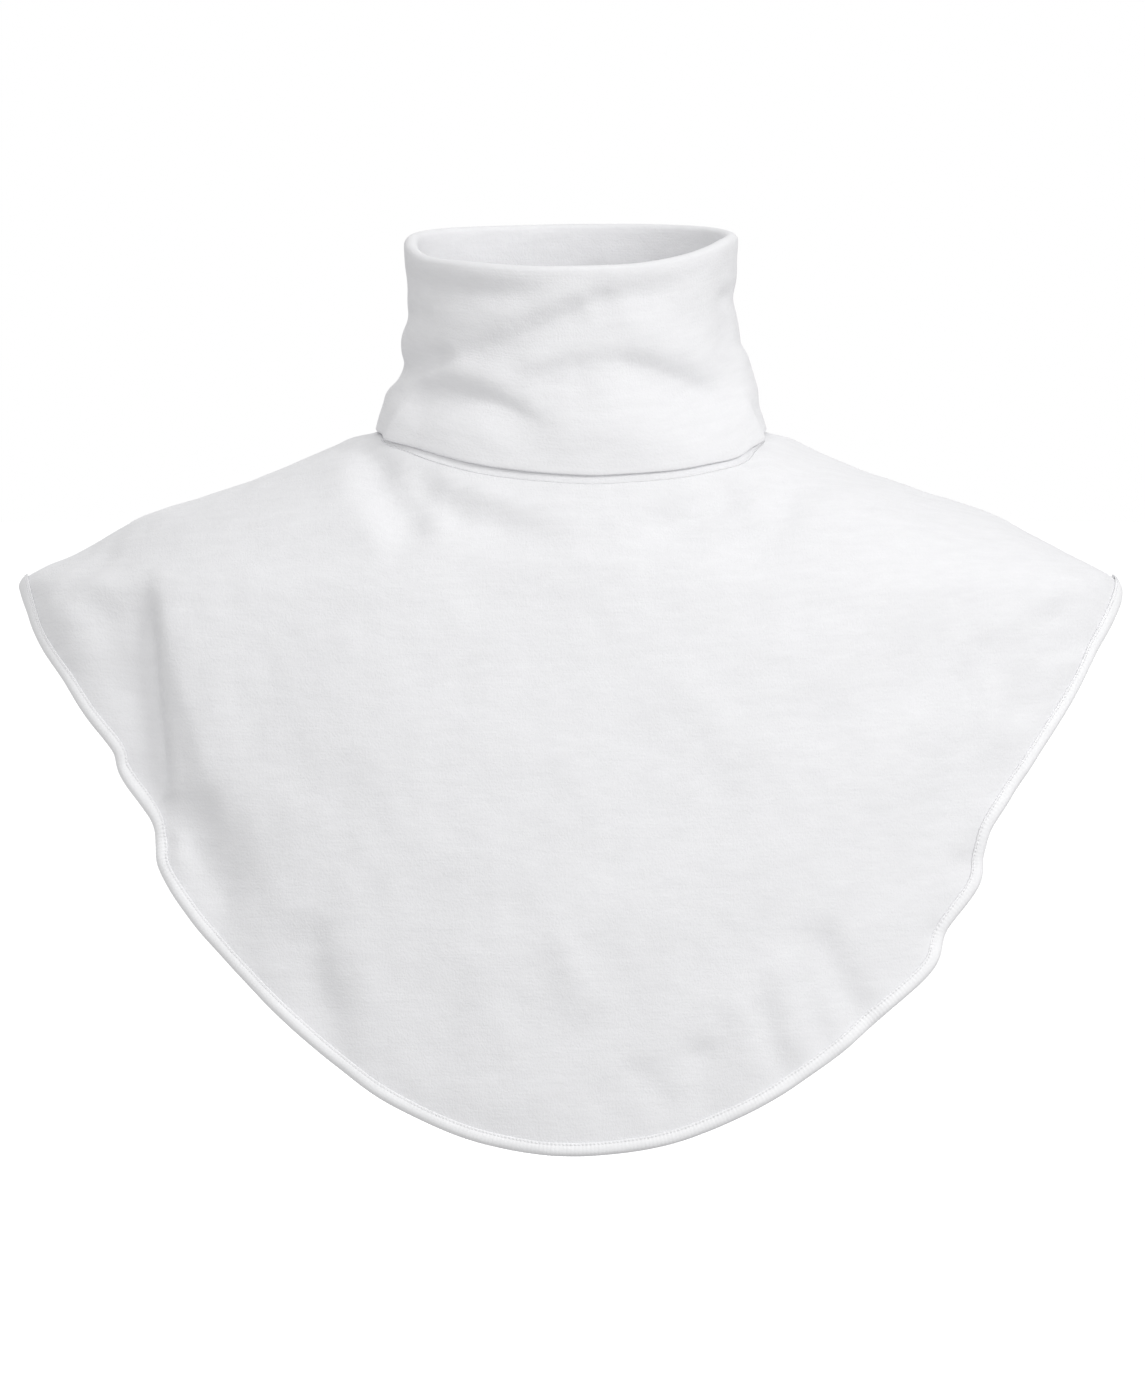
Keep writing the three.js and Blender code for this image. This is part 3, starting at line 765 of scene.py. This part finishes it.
def make_hem_stitches():
    """Thread that shows between needle holes on both faces of the binding."""
    _, _, _, length = hem_columns(BIB_COLUMNS)
    edge, out, up, along, _ = hem_frame(round(length / STITCH_PITCH))
    line = edge - out * STITCH_LINE
    outer = line + up * (BINDING_SLACK + STITCH_HEIGHT)
    inner = line - up * (BIB_WALL + BINDING_SLACK + STITCH_HEIGHT)
    centres = np.concatenate([outer, inner])
    ways = np.concatenate([along, along])
    ups = np.concatenate([up, -up])
    size = THREAD_LENGTH, THREAD_WIDTH, THREAD_THICKNESS
    return capsules("hem_stitches", centres, ways, ups, *size)


# Materials

# The knit's noises: the size of a grain across and along the cloth in millimetres, how fine its
# detail is, and where in the noise it lies
GRAINS = records(
    "name across along detail offset",
    ("waver", 2.4, 5, 2, 1.5),
    ("wear", 5, 7, 2, 31),
    ("fuzz", 0.8, 0.9, 4, 4),
    ("streaks", 10, 0.8, 3, 9),
    ("patches", 40, 16, 2, 12),
    ("mottle", 3.2, 4, 3, 20),
    ("brushed", 12, 3.2, 4, 41),
)
# How much each of them adds to the height of the bump and to the colour
HEIGHT_SHARES = {"loops": 0.15, "fuzz": 1.6, "patchy": 0.9, "mottle": 1.6}
SHADE_SHARES = {"patchy": 0.3, "fuzz": 0.3, "brushed": 0.65}
# The colour runs from dark to light, as shares of the cloth's own, over this range of shades
SHADE_LOW, SHADE_HIGH = 0.25, 0.95
DARKEST, LIGHTEST = 0.935, 1.03

# The thread's grain: how many of its spots go to a metre, and how dark they are at most
THREAD_GRAIN = 2600.0
THREAD_DARKEST = 0.82


def feed(tree, socket, value):
    if isinstance(value, bpy.types.NodeSocket):
        tree.links.new(value, socket)
    else:
        socket.default_value = value


def node(tree, kind, **values):
    """A shader node with its settings and inputs, each input a plain value or a socket to link."""
    made = tree.nodes.new(kind)
    for name, value in values.items():
        if hasattr(made, name):
            setattr(made, name, value)
        else:
            feed(tree, made.inputs[name.replace("_", " ")], value)
    return made


def maths(tree, operation, *values):
    made = node(tree, "ShaderNodeMath", operation=operation)
    for socket, value in zip(made.inputs, values):
        feed(tree, socket, value)
    return made.outputs[0]


def weighted_sum(tree, sockets, shares):
    total, *rest = (maths(tree, "MULTIPLY", sockets[name], share) for name, share in shares.items())
    for term in rest:
        total = maths(tree, "ADD", total, term)
    return total


def new_material(name, roughness):
    """A material with its node tree and its Principled shader."""
    material = bpy.data.materials.new(name)
    material.use_nodes = True
    shader = material.node_tree.nodes["Principled BSDF"]
    shader.inputs["Roughness"].default_value = roughness
    return material, material.node_tree, shader


def shaded(colour, share):
    return (*[channel * share for channel in colour], 1)


def grain_noise(tree, u, v, grain):
    """Noise in the cloth's own coordinates."""
    x = maths(tree, "DIVIDE", u, grain["across"])
    y = maths(tree, "DIVIDE", v, grain["along"])
    place = node(tree, "ShaderNodeCombineXYZ", X=x, Y=y, Z=grain["offset"])
    noise = node(tree, "ShaderNodeTexNoise", Vector=place.outputs[0], Detail=grain["detail"])
    noise.inputs["Scale"].default_value = 1
    return noise.outputs["Fac"]


def knit_material(name, colour, wale, course, depth):
    """Brushed jersey: upright wales of small loops, short level streaks, and soft fuzz over all."""
    material, tree, shader = new_material(name, 0.92)
    shader.inputs["Specular IOR Level"].default_value = 0.25
    shader.inputs["Sheen Weight"].default_value = 0.12
    shader.inputs["Sheen Roughness"].default_value = 0.5
    cloth = node(tree, "ShaderNodeUVMap", uv_map="cloth")
    split = node(tree, "ShaderNodeSeparateXYZ", Vector=cloth.outputs[0])
    u, v = split.outputs[0], split.outputs[1]
    parts = {grain["name"]: grain_noise(tree, u, v, grain) for grain in GRAINS}

    # Wales that waver a little, with courses that lean at each of them, worn away in places
    u_soft = maths(tree, "ADD", u, maths(tree, "MULTIPLY", parts["waver"], wale * 1.6))
    wave = maths(tree, "SINE", maths(tree, "MULTIPLY", u_soft, math.pi / wale))
    wales = maths(tree, "ABSOLUTE", wave)
    lean = maths(tree, "ADD", wales, maths(tree, "MULTIPLY", parts["waver"], 6))
    lean = maths(tree, "MULTIPLY", lean, 0.9)
    turns = maths(tree, "MULTIPLY", v, math.tau / course)
    courses = maths(tree, "SINE", maths(tree, "ADD", turns, lean))
    loops = maths(tree, "ADD", wales, maths(tree, "MULTIPLY", courses, 0.3))
    parts["loops"] = maths(tree, "MULTIPLY", loops, maths(tree, "POWER", parts["wear"], 2.0))
    patches = maths(tree, "ADD", parts["patches"], 0.25)
    parts["patchy"] = maths(tree, "MULTIPLY", parts["streaks"], patches)

    height = weighted_sum(tree, parts, HEIGHT_SHARES)
    bump = node(tree, "ShaderNodeBump", Strength=1.0, Distance=depth * MM, Height=height)
    tree.links.new(bump.outputs[0], shader.inputs["Normal"])
    shade = weighted_sum(tree, parts, SHADE_SHARES)
    share = node(tree, "ShaderNodeMapRange", Value=shade, From_Min=SHADE_LOW, From_Max=SHADE_HIGH)
    mix = node(tree, "ShaderNodeMix", data_type="RGBA", Factor=share.outputs["Result"])
    dark, light = (socket for socket in mix.inputs if socket.type == "RGBA")
    dark.default_value = shaded(colour, DARKEST)
    light.default_value = shaded(colour, LIGHTEST)
    mixed = next(socket for socket in mix.outputs if socket.type == "RGBA")
    tree.links.new(mixed, shader.inputs["Base Color"])
    return material


def thread_material(colour):
    """Sewing thread with a fine grain."""
    material, tree, shader = new_material("thread", 0.75)
    spot = node(tree, "ShaderNodeTexCoord").outputs["Object"]
    noise = node(tree, "ShaderNodeTexNoise", Vector=spot, Scale=THREAD_GRAIN, Detail=2.0)
    grain = noise.outputs["Fac"]
    ramp = node(tree, "ShaderNodeValToRGB", Fac=grain)
    ramp.color_ramp.elements[0].color = shaded(colour, THREAD_DARKEST)
    ramp.color_ramp.elements[1].color = shaded(colour, 1)
    tree.links.new(ramp.outputs["Color"], shader.inputs["Base Color"])
    bump = node(tree, "ShaderNodeBump", Strength=0.5, Distance=0.1 * MM, Height=grain)
    tree.links.new(bump.outputs[0], shader.inputs["Normal"])
    return material


# Stage: a pale floor, a pale backdrop, soft light and the camera

# In metres from here on
FLOOR_Z = -0.62
STAGE_RADIUS = 14
FLOOR_GLOW, FLOOR_ALBEDO = 0.62, 0.8
BACKDROP_GLOW, BACKDROP_ALBEDO = 1, 0


def stage_material(name, glow, albedo):
    material, _, shader = new_material(name, 1)
    shader.inputs["Base Color"].default_value = (albedo, albedo, albedo, 1)
    shader.inputs["Specular IOR Level"].default_value = 0
    shader.inputs["Emission Color"].default_value = (1, 1, 1, 1)
    shader.inputs["Emission Strength"].default_value = glow
    return material


def make_stage():
    """The floor and a dome round it, seen by the camera alone: they don't light the cloth."""
    bpy.ops.mesh.primitive_circle_add(
        vertices=96, radius=STAGE_RADIUS, fill_type="NGON", location=(0, 0, FLOOR_Z)
    )
    floor = bpy.context.object
    floor.name = "floor"
    floor.data.materials.append(stage_material("floor_paint", FLOOR_GLOW, FLOOR_ALBEDO))
    bpy.ops.mesh.primitive_uv_sphere_add(segments=64, ring_count=32, radius=STAGE_RADIUS * 0.99)
    dome = bpy.context.object
    dome.name = "backdrop"
    dome.data.materials.append(stage_material("backdrop_paint", BACKDROP_GLOW, BACKDROP_ALBEDO))
    for thing in (floor, dome):
        thing.visible_diffuse = False
        thing.visible_glossy = False
        thing.visible_transmission = False
        thing.visible_shadow = False


# The studio round the object: how bright it is level with it, and how much brighter straight above.
AROUND = 0.575
TOWARDS_TOP = 0.18

# Soft lamps: azimuth round the object from its front towards +X, elevation, distance, size and
# power in watts. They all shine at one spot.
LIT_SPOT = Vector((0, 0, -0.09))
LIGHTS = table(
    "azimuth elevation distance size power",
    (48, 34, 2.5, 1.1, 21),
    (-6, 10, 3, 1.6, 13.5),
    (186, 22, 3, 1.6, 13),
)


def make_lights():
    world = bpy.data.worlds.new("studio")
    world.use_nodes = True
    tree = world.node_tree
    upwards = node(tree, "ShaderNodeTexCoord").outputs["Generated"]
    split = node(tree, "ShaderNodeSeparateXYZ", Vector=upwards)
    strength = maths(tree, "MULTIPLY", split.outputs["Z"], TOWARDS_TOP)
    strength = maths(tree, "ADD", strength, AROUND)
    tree.nodes["Background"].inputs["Color"].default_value = (1, 1, 1, 1)
    tree.links.new(strength, tree.nodes["Background"].inputs["Strength"])
    bpy.context.scene.world = world
    for n, (azimuth, elevation, distance, size, power) in enumerate(zip(*LIGHTS.values())):
        a, e = math.radians(azimuth), math.radians(elevation)
        way = Vector((math.sin(a) * math.cos(e), -math.cos(a) * math.cos(e), math.sin(e)))
        data = bpy.data.lights.new(f"softbox_{n}", "AREA")
        data.shape = "DISK"
        data.size = size
        data.energy = power
        lamp = bpy.data.objects.new(f"softbox_{n}", data)
        lamp.location = LIT_SPOT + way * distance
        lamp.rotation_mode = "QUATERNION"
        lamp.rotation_quaternion = way.to_track_quat("Z", "Y")
        bpy.context.scene.collection.objects.link(lamp)


# The camera: a long lens a little above the collar's level. The view is FRAME_HEIGHT high at the
# object.
CAMERA_DISTANCE = 2.4
CAMERA_ELEVATION = math.radians(4)
CAMERA_AIM = Vector((0.0006, 0, -0.102))
FRAME_HEIGHT = 0.5496
SENSOR = 36


def make_camera():
    data = bpy.data.cameras.new("camera")
    data.sensor_fit = "AUTO"
    data.sensor_width = SENSOR
    data.lens = SENSOR * CAMERA_DISTANCE / FRAME_HEIGHT
    camera = bpy.data.objects.new("camera", data)
    back = Vector((0, -math.cos(CAMERA_ELEVATION), math.sin(CAMERA_ELEVATION)))
    camera.location = CAMERA_AIM + back * CAMERA_DISTANCE
    camera.rotation_mode = "QUATERNION"
    camera.rotation_quaternion = back.to_track_quat("Z", "Y")
    bpy.context.scene.collection.objects.link(camera)
    bpy.context.scene.camera = camera
    bpy.context.scene.view_settings.view_transform = "Standard"


JERSEY_WHITE = (0.87, 0.87, 0.885)
# The binding's white is lighter than the jersey's. Part of that is the strip's own tone, and part
# is painted light that makes up for the dimmer light on its downward-facing roll. The hem stitches
# take the same colour.
BINDING_WHITE_WITH_PAINTED_LIGHT = (0.935, 0.935, 0.947)
# How far apart the knit's wales and courses are, and how deep it is, in millimetres
JERSEY_KNIT = 1.35, 1.1, 0.11
BINDING_KNIT = 1.1, 0.9, 0.07

make_camera()
collar = make_collar()
bib = make_bib()
binding = make_binding()
hem_stitches = make_hem_stitches()

jersey = knit_material("jersey_knit", JERSEY_WHITE, *JERSEY_KNIT)
collar.data.materials.append(jersey)
bib.data.materials.append(jersey)
# The binding's colour carries painted light on top of its own lighter tone.
binding.data.materials.append(knit_material("binding_knit_with_painted_light", BINDING_WHITE_WITH_PAINTED_LIGHT, *BINDING_KNIT))
hem_stitches.data.materials.append(thread_material(BINDING_WHITE_WITH_PAINTED_LIGHT))

for piece, cad_node, finish in (
    (collar, "collar", "jersey"),
    (bib, "bib", "jersey"),
    (binding, "hem_binding", "binding_jersey"),
):
    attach(piece, "root")
    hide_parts(cad_node)
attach(hem_stitches, "root")

make_stage()
make_lights()
